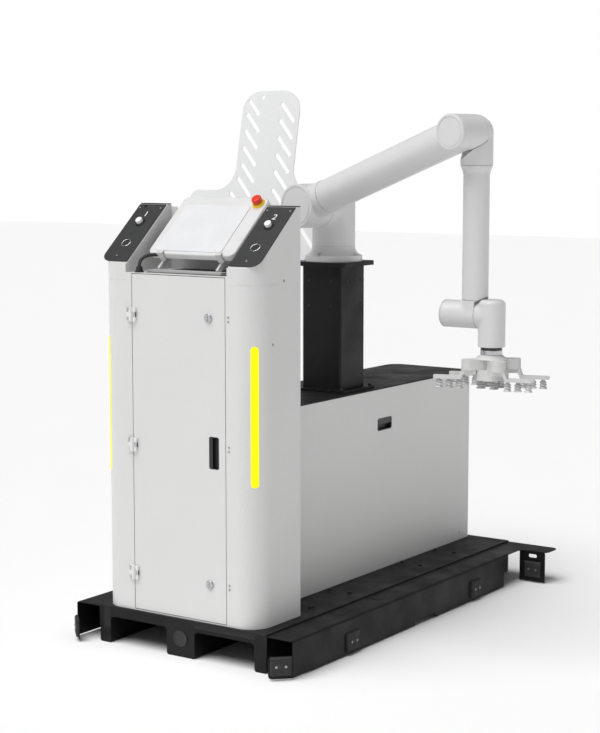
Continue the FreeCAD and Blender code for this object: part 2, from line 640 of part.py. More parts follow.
def make_pendant():
    left, right, low, high = d.pend_left, d.pend_right, d.pend_low, d.pend_high
    face, back = d.pend_face, d.pend_face - d.pend_depth
    body = rounded(box((left, low, back), (right, high, face)), d.pend_round,
                   lambda a, b: abs(a.z - b.z) > 10)
    body = rounded(body, 6, lambda a, b: min(a.z, b.z) > (face - 1).value)
    collar = (d.estop_x, d.estop_t)
    well = d.pend_depth * 0.6
    body = less(body, rod(d.estop_radius * 0.7 + 0.4, well, (*collar, face - well)))
    route = [V(d.gland_x.value, -925, 1482), V(d.gland_x.value, -925, 1530), V(-178, -856, 1524)]
    cable = tube("pendant_tube", route, d.cable_radius)
    inlet = tube("pendant_inlet", route, d.cable_radius + 0.2)
    node("pendant_shell", less(on_slope(body), inlet))
    node("pendant_cable", cable)
    glass = rounded(box((-188, 95, face), (124, 352, face + 3)), 10, lambda a, b: abs(a.z - b.z) > 1)
    node("pendant_screen", on_slope(rounded(glass, 1, lambda a, b: min(a.z, b.z) > (face + 2).value)))
    ring = less(taper(d.estop_radius + 6, d.estop_radius + 3, 9, (*collar, face)),
                rod(d.estop_radius * 0.7 + 0.4, 12, (*collar, face - 1)))
    node("estop_collar", on_slope(ring))
    stem = rod(d.estop_radius * 0.7, 27, (*collar, face - 9))
    cap = rounded(rod(d.estop_radius, 17, (*collar, face + 14)), 6,
                  lambda a, b: min(a.z, b.z) > (face + 30).value)
    node("estop_button", on_slope(joined(stem, cap)))

    # two bent hooks hold the pendant's lower edge; slanted struts carry them from the tray's front lip
    hooks = []
    for x in (-165, 112):
        profile = [(low - 7, back - 6), (low + 30, back - 6), (low + 30, back - 1), (low - 1, back - 1),
                   (low - 1, face + 4), (low + 9, face + 4), (low + 9, face + 9), (low - 7, face + 9)]
        clip = new_body("pendant_hook")
        pad(clip, sketch(clip, "YZ_Plane", [profile], lift=x), 26)
        strut = box((x + 8, 32, back - 26), (x + 18, low + 20, back - 5))
        hooks.append(on_slope(joined(clip, strut)))
    lip = box((d.cab_x - 175, -900, d.tray_floor), (d.cab_x + 175, -860, d.tray_floor + 10))
    shelf = box((-195, -722, 1596), (160, d.cab_back - d.cab_sheet, 1623))
    node("pendant_cradle", group(joined(*hooks, lip), shelf))

    # the cable comes up from a gland in the tray's floor and runs into the pendant's lower edge
    gland = (d.gland_x, -925, d.tray_floor)
    node("cable_gland", joined(taper(15, 11, 22, gland), rod(18, 4, gland)))


def tube(name, route, radius):
    """A round cable along straight runs joined by tangent arcs."""
    edges, start, radius = [], route[0], size(radius).value
    for before, corner, after in zip(route, route[1:], route[2:]):
        into, out = (corner - before).normalize(), (after - corner).normalize()
        turn = into.getAngle(out)
        reach = 0.45 * min((corner - before).Length, (after - corner).Length)
        bend = reach / math.tan(turn / 2)
        a, b = corner - into * reach, corner + out * reach
        middle = corner + (out - into).normalize() * (bend / math.cos(turn / 2) - bend)
        print(f"{name}: bend radius {bend:.0f} mm")
        edges += [Part.LineSegment(start, a).toShape(), Part.Arc(a, middle, b).toShape()]
        start = b
    edges.append(Part.LineSegment(start, route[-1]).toShape())
    path = Part.Wire(edges)
    ring = Part.Wire(Part.Circle(route[0], (route[1] - route[0]).normalize(), radius).toShape())
    thing = doc.addObject("Part::Feature", name)
    thing.Shape = path.makePipeShell([ring], True, False)
    if abs(thing.Shape.Volume / (math.pi * radius ** 2 * path.Length) - 1) > 0.02:
        raise RuntimeError(f"{name} has the wrong volume")
    return thing


def make_guard():
    """A slotted plate that leans back behind the cabinet; drawn flat and then stood up."""
    half, tower, shoulder, top = d.guard_half, d.tower_half, d.guard_shoulder, d.tower_top
    flat = box((-half, 0, 0), (half, shoulder, d.guard_sheet))
    flat = rounded(flat, d.guard_round, standing((-half, shoulder), (half, shoulder)))
    tall = box((-tower, 0, 0), (tower, top, d.guard_sheet))
    tall = rounded(tall, d.tower_round, standing((-tower, top), (tower, top)))
    fillets = []
    r = d.tower_flare
    for side in (-1, 1):
        x = tower * side
        low, high = (x - r, x) if side < 0 else (x, x + r)
        corner = box((low, shoulder - 1, 0), (high, shoulder + r, d.guard_sheet))
        fillets.append(less(corner, rod(r, 9, (x + r * side, shoulder + r, -1))))
    plate = joined(flat, tall, *fillets)
    width, r = d.slot_width, d.slot_width / 2
    holes = []

    def slot(x, up, length=d.slot_length):
        run = rounded(box((-length / 2, -r, -1), (length / 2, r, d.guard_sheet + 1)), 0.49 * width,
                      lambda a, b: abs(a.z - b.z) > 1)
        return place(run, (x, up, 0), UP, d.slot_turn)

    for i in range(5):
        holes.append(slot(d.slot_x, top - 97 - d.slot_pitch * i))
    for i in range(4):
        holes.append(slot(-d.slot_x, top - 141 - d.slot_pitch * i))
    holes.append(slot(-d.slot_x, top - 74, 0.8 * d.slot_length))
    holes += [slot(*spot) for spot in ((-103, 325), (-136, 260), (91, 276), (262, 104), (-262, 104))]
    holes.append(rod(10, 9, (-48, top - 28, -1)))
    plate = less(plate, *holes)
    node("guard_plate", place(plate, (d.guard_x, d.guard_y, d.guard_z), RIGHT, d.guard_lean))

    posts, bolts = [], []
    low, rear, wide = d.low_top + d.lid, d.guard_y + d.post_depth, d.post_side
    lean = (d.post_top - d.guard_z) * cos(d.guard_lean) / sin(d.guard_lean)
    front = d.guard_y + d.fit
    profile = [(front, low), (rear, low), (rear, d.post_top), (front + lean, d.post_top),
               (front, d.guard_z)]
    for x in (d.post_left, d.post_right):
        b = new_body("guard_post")
        pad(b, sketch(b, "YZ_Plane", [profile], lift=x), wide)
        posts.append(b)
        for up in (25, 85):
            spot = (x + wide / 2 - d.guard_x, up, d.guard_sheet)
            bolts.append(place(group(screw(spot, radius=7, head=4)),
                               (d.guard_x, d.guard_y, d.guard_z), RIGHT, d.guard_lean))
    node("guard_brackets", group(*posts))
    return bolts


# ---------------------------------------------------------------- low cabinet and column

def make_low_cabinet():
    half, front, rear = d.low_half, d.cab_back, d.low_rear
    low, top, sheet, r = d.deck_top, d.low_top, d.low_sheet, d.low_round
    outer = rounded(box((-half, front, low), (half, rear, top)), r, standing((-half, rear)))
    inner = rounded(box((sheet - half, front + sheet, low + sheet), (half - sheet, rear - sheet, top + 1)),
                    r - sheet, standing((sheet - half, rear - sheet)))
    y0, y1, z0, z1 = 129, 244, 745, 798
    handle = rounded(box((half - 2 * sheet, y0, z0), (half + 1, y1, z1)), 10,
                     lambda a, b: abs(a.x - b.x) > 1)
    node("low_cabinet", less(outer, inner, handle))
    node("low_cabinet_top", rounded(box((-half, front, top), (half, rear, top + d.lid)), r,
                                    standing((-half, rear))))
    cup = rounded(box((half - 22, y0 + 0.2, z0 + 0.2), (half, y1 - 0.2, z1 - 0.2)), 9.8,
                  lambda a, b: abs(a.x - b.x) > 1)
    bowl = rounded(box((half - 19, y0 + 4, z0 + 4), (half + 5, y1 - 4, z1 - 4)), 8,
                   lambda a, b: abs(a.x - b.x) > 1)
    grip = box((half - 4, y0 + 5, z0 + 27), (half, y1 - 5, z1 - 2.5))
    node("low_cabinet_handle", joined(less(cup, bowl), grip))

    motor = rod(85, 210, (-20, 380, low + sheet + 95), "y")
    stand = box((-90, 385, low + sheet), (50, 585, low + sheet + 40))
    tank = rounded(rod(110, 300, (0, -150, low + sheet)), 30, lambda a, b: min(a.z, b.z) > 400)
    node("vacuum_pump", group(joined(motor, stand), tank))
    return [screw((half, 846, 183), REAR, 90, 5, 2), screw((half, 846, 880), REAR, 90, 5, 2)]


def make_column():
    x, y, half = d.column_x, d.column_y, d.column_side / 2
    foot, low = d.foot_side / 2, d.low_top + d.lid
    top = d.column_top - d.top_thick
    corners = [(x + sx * half, y + sy * half) for sx in (-1, 1) for sy in (-1, 1)]
    post = rounded(box((x - half, y - half, low + d.foot_thick), (x + half, y + half, top)), 12,
                   standing(*corners))
    wall = half - d.column_wall
    hollow = box((x - wall, y - wall, low - 1), (x + wall, y + wall, top + 1))
    plate = box((x - foot, y - foot, low), (x + foot, y + foot, low + d.foot_thick))
    plate = rounded(plate, 18, standing(*[(x + sx * foot, y + sy * foot) for sx in (-1, 1)
                                          for sy in (-1, 1)]))
    bolt = foot - 18
    places = [(x + sx * bolt, y + sy * bolt) for sx in (-1, 1) for sy in (-1, 1)]
    holes = [rod(5.5, 20, (*p, low - 1)) for p in places]
    node("column", less(joined(post, plate), hollow, *holes))
    r = d.top_side / 2
    cap = box((x - r, y - r, top), (x + r, y + r, d.column_top))
    cap = rounded(cap, 25, standing(*[(x + sx * r, y + sy * r) for sx in (-1, 1) for sy in (-1, 1)]))
    cap = rounded(cap, 2, lambda a, b: min(a.z, b.z) > (d.column_top - 1).value
                  and (abs(a.x - b.x) > 100 or abs(a.y - b.y) > 100))
    node("column_top_plate", less(cap, rod(30, 30, (x, y, top - 1))))
    screws = []
    for z in (1385, 1282):
        screws += [screw((x + s, y - half, z), RIGHT, 90, 5, 2) for s in (-58, 50)]
        screws += [screw((x + half, y + s, z), REAR, 90, 5, 2) for s in (-48, 62)]
    bolts = [joined(screw((*p, low + d.foot_thick), radius=8.5, head=9), rod(5, 12, (*p, low)))
             for p in places]
    return screws, bolts


# ---------------------------------------------------------------- robot arm
# Shapes are drawn with the arm pointing along +X and its front towards -Y, the shoulder's
# upright axis at X = Y = 0, and are then turned and moved together onto the column.

def on_column(thing):
    return place(group(thing), (d.column_x, d.column_y, 0), UP, d.turn)


def tilted(thing, y=0):
    """Lays a thing drawn along +X from the shoulder's tilting axis up the arm's rest slope."""
    return place(group(thing), (0, y, d.shoulder_z), REAR, -d.tilt)


def make_robot_base():
    """The base casting: a thick round foot that flares up into the neck, bolted down by four screws."""
    low, seam, r = d.column_top, d.base_seam - d.seam, d.base_radius
    rim, run = low + d.base_skirt, r - d.neck
    flare = []
    for step in range(1, 9):
        angle = Size(f"({11.25 * step})", 11.25 * step)
        flare.append((r - run * sin(angle), rim + d.base_flare * (1 - cos(angle))))
    profile = [(d.bore + d.fit, low + 30), (d.bore + d.fit, seam), (d.neck, seam), *flare[::-1],
               (r - 1.5, rim), (r, rim - 1.5), (r, low), (30, low), (30, low + 30)]
    b = turned("robot_base_body", profile)
    pockets, bolts = [], []
    for i in range(4):
        angle = d.bolt_turn + 90 * i
        x, y = d.bolt_ring * cos(angle), d.bolt_ring * sin(angle)
        pockets.append(rod(8, 60, (x, y, low + 14)))
        pockets.append(rod(4.5, 60, (x, y, low - 1)))
        bolts.append(joined(screw((x, y, low + 14), radius=6.5, head=7), rod(4, 15, (x, y, low))))
    node("robot_base", on_column(less(b, *pockets)))
    return [on_column(group(*bolts))]


def make_turret():
    seam, top, r, out = d.base_seam, d.shoulder_z, d.neck, d.turret_out
    upright = rod(r, top - seam, (0, 0, seam))
    level = rod(r, out, (0, -out, top), "y")
    dome = shared(rod(r, 2 * r, (0, 0, top - r / 2)), rod(r, 2 * r, (0, -r, top), "y"))
    inner = r - d.wall
    inside = joined(rod(inner, top - seam - d.wall, (0, 0, seam + d.wall)),
                    rod(inner, out - 12, (0, 12 - out, top), "y"))
    core = shared(rod(inner, 2 * r, (0, 0, top - r / 2)), rod(inner, 2 * r, (0, -r, top), "y"))
    openings = [rod(d.bore + 4, 30, (0, 0, seam - 1)), rod(d.bore + d.fit, 30, (0, -out - 1, top), "y")]
    skin = joined(upright, level, dome)
    node("turret_housing", on_column(less(skin, inside, core, *openings)))

    motor = [rod(62, 80, (0, 0, seam + d.wall)), rod(d.bore + 4, d.wall, (0, 0, seam)),
             rod(d.bore, 24, (0, 0, seam - 24))]
    node("turret_drive", on_column(less(joined(*motor), rod(12, 200, (0, 0, seam - 30)))))


def drive(out_from, out_to, center, face, stub, along=1):
    """A joint's drive on a front-to-rear axis: its motor in one housing and a stub in the next."""
    x, z = center
    motor = rod(d.bore + 14, out_to - out_from, (x, -out_to, z), "y")
    shaft = rod(d.bore, stub, (x, -face, z), "y")
    return less(joined(motor, shaft), rod(9, 400, (x, -out_to - 50, z), "y"))


def make_upper_arm():
    top, near, far = d.shoulder_z, d.turret_out + d.seam, d.shoulder_out
    r, mid, tube_r = d.neck, d.tube_out, d.tube_radius
    hub = rod(r, far - d.cap - near, (0, d.cap - far, top), "y")
    neck = tilted(rod(tube_r + 2.5, d.root_length, (0, 0, 0), "x"), -mid)
    inner = r - d.wall
    hollow = [rod(inner, far - d.cap - near - d.wall + 1, (0, d.cap - far - 1, top), "y"),
              tilted(rod(tube_r - d.wall, d.root_length + 5, (0, 0, 0), "x"), -mid),
              rod(d.bore + 4, 30, (0, -near - 20, top), "y")]
    sides = [rod(r + d.seam, 40, (0, d.cap - far - 40, top), "y"), rod(r + 3, 40, (0, -near, top), "y")]
    solid = less(joined(hub, neck), *sides)
    node("shoulder_casting", on_column(less(solid, *hollow)))

    profile = [(0, 0), (r, 0), (r, d.cap - 5), (r - 1.5, d.cap - 1.5), (r - 5, d.cap), (r - 12, d.cap),
               (r - 13, d.cap - 2), (r - 15, d.cap - 2), (r - 16, d.cap), (0, d.cap)]
    lid = place(turned("shoulder_disc", profile), (0, d.cap - far, top), RIGHT, 90)
    lids = [lid]

    motor = drive(near + d.wall, far - d.cap - 10, (0, top), near + d.wall, d.wall + d.seam + 24)
    step = rod(d.bore + 4, d.wall, (0, -near - d.wall, top), "y")
    node("shoulder_drive", on_column(less(joined(motor, step), rod(9, 400, (0, -far - 50, top), "y"))))

    # the tube runs to the elbow, where a short drum stands across it
    root, long = d.root_length, d.arm_length
    elbow = (long * cos(d.tilt), top + long * sin(d.tilt))
    near_elbow, end = d.housing_out + 1.4, d.elbow_out - d.cap
    tube_in = tube_r - d.wall
    beam = tilted(rod(tube_r, long - root, (root, 0, 0), "x"), -mid)
    drum = rod(tube_r, end - near_elbow, (elbow[0], -end, elbow[1]), "y")
    cavities = [tilted(rod(tube_in, long - root + 1, (root - 1, 0, 0), "x"), -mid),
                rod(tube_in, end - near_elbow - d.wall + 1, (elbow[0], -end - 1, elbow[1]), "y"),
                rod(d.bore + 4, 40, (elbow[0], -near_elbow - 20, elbow[1]), "y")]
    clear = rod(2 * tube_r, 40, (elbow[0], -near_elbow, elbow[1]), "y")
    node("upper_tube", on_column(less(joined(beam, drum), *cavities, clear)))
    profile = [(0, 0), (tube_r, 0), (tube_r, d.cap - 5), (tube_r - 1.5, d.cap - 1.5), (tube_r - 5, d.cap),
               (tube_r - 10, d.cap), (tube_r - 11, d.cap - 2), (tube_r - 13, d.cap - 2),
               (tube_r - 14, d.cap), (0, d.cap)]
    lids.append(place(turned("elbow_disc", profile), (elbow[0], -end, elbow[1]), RIGHT, 90))
    node("arm_caps", on_column(group(*lids)))
    motor = drive(near_elbow + d.wall, end - 10, elbow, near_elbow + d.wall, d.wall + 1.4 + 24)
    step = rod(d.bore + 4, d.wall, (elbow[0], -near_elbow - d.wall, elbow[1]), "y")
    node("elbow_drive", on_column(less(joined(motor, step),
                                       rod(9, 400, (elbow[0], -end - 50, elbow[1]), "y"))))
    return elbow


def make_elbow(elbow):
    """The elbow's housing hangs behind the upper arm's end and carries the forearm's roll joint."""
    x, z = elbow
    out, r, fore = d.housing_out, d.housing_radius, d.forearm_out
    roll = z - d.roll_seam

    def body(inset):
        """An upright leg closed by a dome, with a short drum on its front for the bending joint."""
        leg, drum, low = r - inset, r + 4 - inset, roll + inset
        sides = box((x - 2 * r, -2 * r - fore, low), (x + 2 * r, 2 * r - fore, z))
        crown = joined(sides, rod(drum, 4 * r, (x, -2 * r - fore, z), "y"))
        column = rod(leg, z - low + 2 * drum, (x, -fore, low))
        return joined(shared(column, crown), rod(drum, out - fore + 3, (x, inset - out, z), "y"))

    def sweep(extra):
        """The room that the upper arm's drum and tube take, from the rest bend to the tightest one."""
        r, face = d.tube_radius + d.notch_gap + extra, extra - out - d.notch_gap
        drum = rod(r, 100, (x, face - 100, z), "y")
        tubes = [place(group(rod(r, 180, (0, 0, 0), "x")), (x, -d.tube_out, z), REAR, 180 - d.tilt - bend)
                 for bend in (0, 5, 10)]
        return group(drum, *tubes)

    skin = less(body(0), sweep(0))
    hollow = less(body(d.wall), sweep(d.wall))
    openings = [rod(d.bore + d.fit, 30, (x, -out - 5, z), "y"), rod(d.bore + 4, 30, (x, -fore, roll - 1))]
    node("elbow_housing", on_column(less(skin, hollow, *openings)))
    motor = [rod(d.bore + 8, 16, (x, -fore, roll + d.wall)), rod(d.bore + 4, d.wall, (x, -fore, roll)),
             rod(d.bore - 6, 24 + d.seam, (x, -fore, roll - 24 - d.seam))]
    node("roll_drive", on_column(less(joined(*motor), rod(9, 200, (x, -fore, roll - 50)))))
    return roll


def wrist_frame(elbow):
    """The forearm's axis in the station's frame; the wrist's bending axis runs along +X there."""
    x, out = elbow[0], d.forearm_out
    return (d.column_x + x * cos(d.turn) + out * sin(d.turn),
            d.column_y + x * sin(d.turn) - out * cos(d.turn), elbow[1] - d.forearm_length)


def make_forearm(axis, roll):
    x, y, z = axis
    r, wide, thick = d.forearm_radius, d.housing_radius - 1, d.wall
    seam = roll - d.seam
    bend = seam - d.forearm_taper
    low = z + d.tube_end
    profile = [(0, low), (r, low), (r, bend), (r + 1.5, bend + 4), (wide - 1, seam - 4), (wide, seam - 2),
               (wide - 1, seam), (0, seam)]
    outer = place(turned("forearm_skin", profile), (x, y, 0))
    hollow = rod(r - thick, bend - low - 10, (x, y, low))
    bearing = rod(d.bore - 6 + d.fit, 60, (x, y, seam - 50))
    clear = rod(d.wrist_clear, 100, (x + d.wrist_seam, y, z), "x")
    node("forearm_tube", less(outer, hollow, bearing, clear))

    left, right, w = x - d.wrist_left, x + d.wrist_seam, d.wrist_radius
    drum = rod(w, right - left - 6, (left + 6, y, z), "x")
    neck = rod(r, d.tube_end, (x, y, z))
    clear = rod(d.wrist_clear, 100, (right, y, z), "x")
    hollow = [rod(w - thick, right - left - 6 - thick, (left + 5, y, z), "x"),
              rod(r - thick, d.tube_end + 1, (x, y, z)), rod(d.bore - 2, 30, (right - 20, y, z), "x")]
    node("wrist_casting", less(joined(drum, neck), *hollow, clear))
    disc = rounded(rod(w, 6, (left, y, z), "x"), 3, lambda a, b: max(a.x, b.x) < (left + 1).value)
    node("wrist_cap", disc)
    motor = [rod(d.bore + 8, right - left - 60, (left + 30, y, z), "x"),
             rod(d.bore - 6, 30 + 24 + d.seam, (right - 30, y, z), "x"),
             rod(d.bore - 2, thick, (right - thick, y, z), "x")]
    node("wrist_drive", less(joined(*motor), rod(9, 400, (left, y, z), "x")))


def make_wrist(axis):
    x, y, z = axis
    seam, hand, r = x + d.wrist_seam + d.seam, x + d.flange_offset, d.hand_radius
    low, high = z - d.hand_down, z + d.hand_up
    profile = [(0, low), (r - 1, low), (r, low + 1), (r, high - 17), (r - 2, high - 10), (r - 8, high - 4),
               (r - 16, high), (0, high)]
    hull = place(turned("hand_skin", profile), (hand, y, 0))
    neck = rod(d.wrist_radius, hand - seam, (seam, y, z), "x")
    hollow = [rod(r - d.wall, high - low - d.wall - 20, (hand, y, low + d.wall)),
              rod(d.wrist_radius - d.wall, hand - seam - 26, (seam + 26, y, z), "x"),
              rod(d.bore - 6 + d.fit, 40, (seam - 1, y, z), "x"), rod(d.bore - 8, 30, (hand, y, low - 1))]
    node("wrist_housing", less(joined(hull, neck), *hollow))
    motor = [rod(d.bore, 50, (hand, y, low + d.wall)), rod(d.bore - 8, d.wall, (hand, y, low)),
             rod(d.bore - 12, 8, (hand, y, low - 8))]
    node("flange_drive", less(joined(*motor), rod(7, 200, (hand, y, low - 50))))
    return hand


def make_gripper(hand, axis):
    """The tool flange and a four-armed vacuum gripper, drawn round the flange's axis at the wrist."""
    z = axis[2]
    here = (hand, axis[1], z)
    top = -d.hand_down - d.seam
    ring = less(rod(d.ring_radius, d.ring_low + top, (0, 0, -d.ring_low)),
                rod(d.bore - 12 + d.fit, 40, (0, 0, -d.ring_low + 2)))
    holes = []
    for i in range(4):
        angle = Size(f"({45 + 90 * i})", 45 + 90 * i)
        holes.append((31.5 * cos(angle), 31.5 * sin(angle)))
    node("tool_flange", place(less(ring, *[rod(3, 30, (*p, -d.ring_low - 1)) for p in holes]), here))
    flange = rounded(rod(d.adapter_radius, d.adapter_low - d.ring_low, (0, 0, -d.adapter_low)), 1.5,
                     lambda a, b: abs(a.z - b.z) < 0.1)
    holes = [rod(3.2, 30, (*p, -d.adapter_low - 1)) for p in holes]
    node("tool_adapter", place(less(flange, *holes), here))

    lobes = []
    o, r = d.lobe_offset, d.lobe_radius
    spots = [(o * sx, o * sy) for sx in (-1, 1) for sy in (-1, 1)]
    tall = d.lobe_low - d.lobe_top
    for a, b in ((spots[0], spots[3]), (spots[1], spots[2])):
        bar = rounded(box((-1.4142 * o - r, -r, -d.lobe_low), (1.4142 * o + r, r, -d.lobe_top)), 0.98 * r,
                      lambda p, q: abs(p.z - q.z) > 5)
        lobes.append(place(bar, (0, 0, 0), UP, 45 if a is spots[0] else -45))
    cone = taper(d.hub_radius - 4, d.adapter_radius - 2, d.lobe_top - d.adapter_low, (0, 0, -d.lobe_top))
    hub = rod(d.hub_radius, d.hub_low - d.lobe_low, (0, 0, -d.hub_low))
    node("gripper_body", place(joined(*lobes, cone, hub), here))

    arms, cups = [], []
    floor, plate = -d.lobe_low - d.finger_drop, 12
    for sx, sy in ((-1, -1), (-1, 1), (1, -1), (1, 1)):
        b = new_body("gripper_arm")
        under = -d.lobe_low
        profile = [(-r, under), (-r, under - 16), (22, under - 16), (30, floor - plate),
                   (d.finger_length, floor - plate), (d.finger_length, floor), (36, floor), (27, under)]
        pad(b, sketch(b, "XZ_Plane", [profile]), d.finger_width, midplane=True)
        soften(b, 14, lambda p, q: abs(p.z - q.z) > 5 and abs(p.x - q.x) < 0.1
               and p.x > (d.finger_length - 1).value)
        angle = d.swing if sx > 0 else d.swing + 180
        arms.append(place(b, (o * sx, o * sy, 0), UP, angle))
        for i in range(3):
            reach = d.cup_first + d.cup_pitch * i
            cups.append(bellows((o * sx + reach * cos(angle), o * sy + reach * sin(angle)), d.cup_radius,
                                -d.cup_low, floor - plate))
    cups += [bellows((28 * sx, 28 * sy), 18, -d.cup_low, -d.hub_low) for sx in (-1, 1) for sy in (-1, 1)]
    fingers = less(group(*arms), rod(d.hub_radius, 60, (0, 0, -d.hub_low)))
    node("gripper_arms", place(fingers, here))
    node("suction_cups", place(group(*cups), here))


def bellows(at, radius, low, high):
    """A suction cup: a fitting, two folds and a flared lip with a hollow underside."""
    r = size(radius)
    low, high = size(low), size(high)
    tall = high - low
    profile = [(0.35 * r, low + 0.35 * tall), (0.86 * r, low), (r, low), (r, low + 0.05 * tall),
               (0.62 * r, low + 0.25 * tall), (0.92 * r, low + 0.37 * tall), (0.92 * r, low + 0.41 * tall),
               (0.62 * r, low + 0.53 * tall), (0.88 * r, low + 0.65 * tall), (0.88 * r, low + 0.69 * tall),
               (0.5 * r, low + 0.8 * tall), (0.5 * r, high), (0, high), (0, low + 0.35 * tall)]
    return place(turned("cup", profile), (*at, 0))


def check_model():
    """Stops if any feature failed or any sub-part is empty or invalid."""
    doc.recompute()
    failed = [thing for thing in doc.Objects
              if any(word in state for state in thing.State for word in ("Invalid", "Error"))]
    if failed:
        raise RuntimeError(", ".join(f"{thing.Label} ({thing.TypeId})" for thing in failed))
    for thing in nodes:
        shape = thing.Shape
        if shape.isNull() or not shape.isValid() or not shape.Solids:
            raise RuntimeError(f"{thing.Label} has no valid shape")


def main():
    bolts = make_base()
    screws = make_skirts()
    screws += make_cabinet()
    make_door()
    make_pendant()
    bolts += make_guard()
    screws += make_low_cabinet()
    post_screws, post_bolts = make_column()
    bolts += post_screws + post_bolts
    bolts += make_robot_base()
    make_turret()
    elbow = make_upper_arm()
    roll = make_elbow(elbow)
    axis = wrist_frame(elbow)
    make_forearm(axis, roll)
    hand = make_wrist(axis)
    make_gripper(hand, axis)
    node("black_bolts", group(*bolts))
    node("bright_screws", group(*screws))
    check_model()
    os.makedirs("parts", exist_ok=True)
    for thing in nodes:
        thing.Shape.exportStep(f"parts/{thing.Label}.step")
        print(f"{thing.Label}: {len(thing.Shape.Solids)} solid(s)")


main()
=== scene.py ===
"""Looks of the mobile palletising station: finishes, castings, small fittings, light and camera."""
import bpy
import bmesh
import json
import math
import numpy as np
from mathutils import Matrix, Vector

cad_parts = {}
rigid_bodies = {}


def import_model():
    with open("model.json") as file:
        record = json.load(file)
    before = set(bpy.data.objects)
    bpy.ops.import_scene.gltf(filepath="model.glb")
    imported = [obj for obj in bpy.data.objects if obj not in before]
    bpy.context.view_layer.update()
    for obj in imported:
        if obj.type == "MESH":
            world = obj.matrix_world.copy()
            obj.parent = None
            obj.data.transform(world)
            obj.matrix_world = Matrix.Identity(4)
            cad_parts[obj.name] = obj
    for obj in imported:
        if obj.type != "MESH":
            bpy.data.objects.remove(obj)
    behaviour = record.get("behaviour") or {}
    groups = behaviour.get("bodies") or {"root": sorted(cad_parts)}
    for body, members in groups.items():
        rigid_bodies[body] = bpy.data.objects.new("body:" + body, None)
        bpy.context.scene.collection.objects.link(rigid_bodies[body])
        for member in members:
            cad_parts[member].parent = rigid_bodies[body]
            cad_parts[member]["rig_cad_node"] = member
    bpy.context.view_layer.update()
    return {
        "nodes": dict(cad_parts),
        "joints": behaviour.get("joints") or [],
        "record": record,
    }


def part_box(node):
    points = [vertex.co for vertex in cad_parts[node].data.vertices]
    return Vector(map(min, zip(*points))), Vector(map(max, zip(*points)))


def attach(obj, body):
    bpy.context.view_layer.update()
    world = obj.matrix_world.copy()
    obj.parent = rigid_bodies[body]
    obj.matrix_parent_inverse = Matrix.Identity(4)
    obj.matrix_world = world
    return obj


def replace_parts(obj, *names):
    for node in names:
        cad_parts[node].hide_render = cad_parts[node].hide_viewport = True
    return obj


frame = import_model()
X, Z = Vector((1, 0, 0)), Vector((0, 0, 1))


# ---------------------------------------------------------------- materials

COLOUR_A, COLOUR_B, COLOUR_OUT = 6, 7, 2    # a Mix node's colour sockets, which share names with others


class Finish:
    """A node material: a Principled shader and the nodes that feed it, read in metres on the object."""

    def __init__(self, name, colour, rough, metal=0.0):
        self.material = bpy.data.materials.new(name)
        self.material.use_nodes = True
        self.tree = self.material.node_tree
        self.shader = self.tree.nodes["Principled BSDF"]
        self.colour, self.rough = colour, rough
        self.shader.inputs["Metallic"].default_value = metal
        self.shader.inputs["Base Color"].default_value = (*colour, 1)
        self.shader.inputs["Roughness"].default_value = rough
        self.place = self.tree.nodes.new("ShaderNodeTexCoord").outputs["Object"]
        self.last_bump = None

    def noise(self, scale, detail=4.0, stretch=(1, 1, 1), rough=0.5):
        """A noise pattern whose grain is 1 / scale metres; stretch makes it longer along an axis."""
        where = self.place
        if stretch != (1, 1, 1):
            squeeze = self.tree.nodes.new("ShaderNodeMapping")
            squeeze.inputs["Scale"].default_value = stretch
            self.tree.links.new(where, squeeze.inputs["Vector"])
            where = squeeze.outputs["Vector"]
        n = self.tree.nodes.new("ShaderNodeTexNoise")
        n.inputs["Scale"].default_value = scale
        n.inputs["Detail"].default_value = detail
        n.inputs["Roughness"].default_value = rough
        self.tree.links.new(where, n.inputs["Vector"])
        return n.outputs["Fac"]

    def cells(self, scale):
        """A pattern of small pebbles, 1 / scale metres apart."""
        v = self.tree.nodes.new("ShaderNodeTexVoronoi")
        v.inputs["Scale"].default_value = scale
        self.tree.links.new(self.place, v.inputs["Vector"])
        return v.outputs["Distance"]

    def between(self, pattern, low, high, start=0.3, end=0.7):
        """Stretches the part of a pattern from start to end over the range from low to high."""
        m = self.tree.nodes.new("ShaderNodeMapRange")
        m.inputs["From Min"].default_value = start
        m.inputs["From Max"].default_value = end
        m.inputs["To Min"].default_value = low
        m.inputs["To Max"].default_value = high
        self.tree.links.new(pattern, m.inputs["Value"])
        return m.outputs["Result"]

    def tint(self, pattern, other, start=0.3, end=0.7):
        """Mixes the colour so far towards another one where the pattern is high."""
        mix = self.tree.nodes.new("ShaderNodeMix")
        mix.data_type = "RGBA"
        self.tree.links.new(self.between(pattern, 0, 1, start, end), mix.inputs["Factor"])
        base = self.shader.inputs["Base Color"]
        if base.is_linked:
            self.tree.links.new(base.links[0].from_socket, mix.inputs[COLOUR_A])
        else:
            mix.inputs[COLOUR_A].default_value = base.default_value
        mix.inputs[COLOUR_B].default_value = (*other, 1)
        self.tree.links.new(mix.outputs[COLOUR_OUT], base)
        return self

    def gloss(self, pattern, low, high):
        """Lets the roughness wander from low to high with a pattern."""
        self.tree.links.new(self.between(pattern, low, high), self.shader.inputs["Roughness"])
        return self

    def bump(self, pattern, depth, strength=1.0):
        """Adds relief of a depth in metres."""
        b = self.tree.nodes.new("ShaderNodeBump")
        b.inputs["Distance"].default_value = depth
        b.inputs["Strength"].default_value = strength
        self.tree.links.new(pattern, b.inputs["Height"])
        if self.last_bump:
            self.tree.links.new(self.last_bump, b.inputs["Normal"])
        self.last_bump = b.outputs["Normal"]
        self.tree.links.new(self.last_bump, self.shader.inputs["Normal"])
        return self

    def specular(self, level):
        self.shader.inputs["Specular IOR Level"].default_value = level
        return self


def shade(colour, by):
    """A colour made lighter or darker by a factor."""
    return tuple(min(1.0, max(0.0, c * by)) for c in colour)


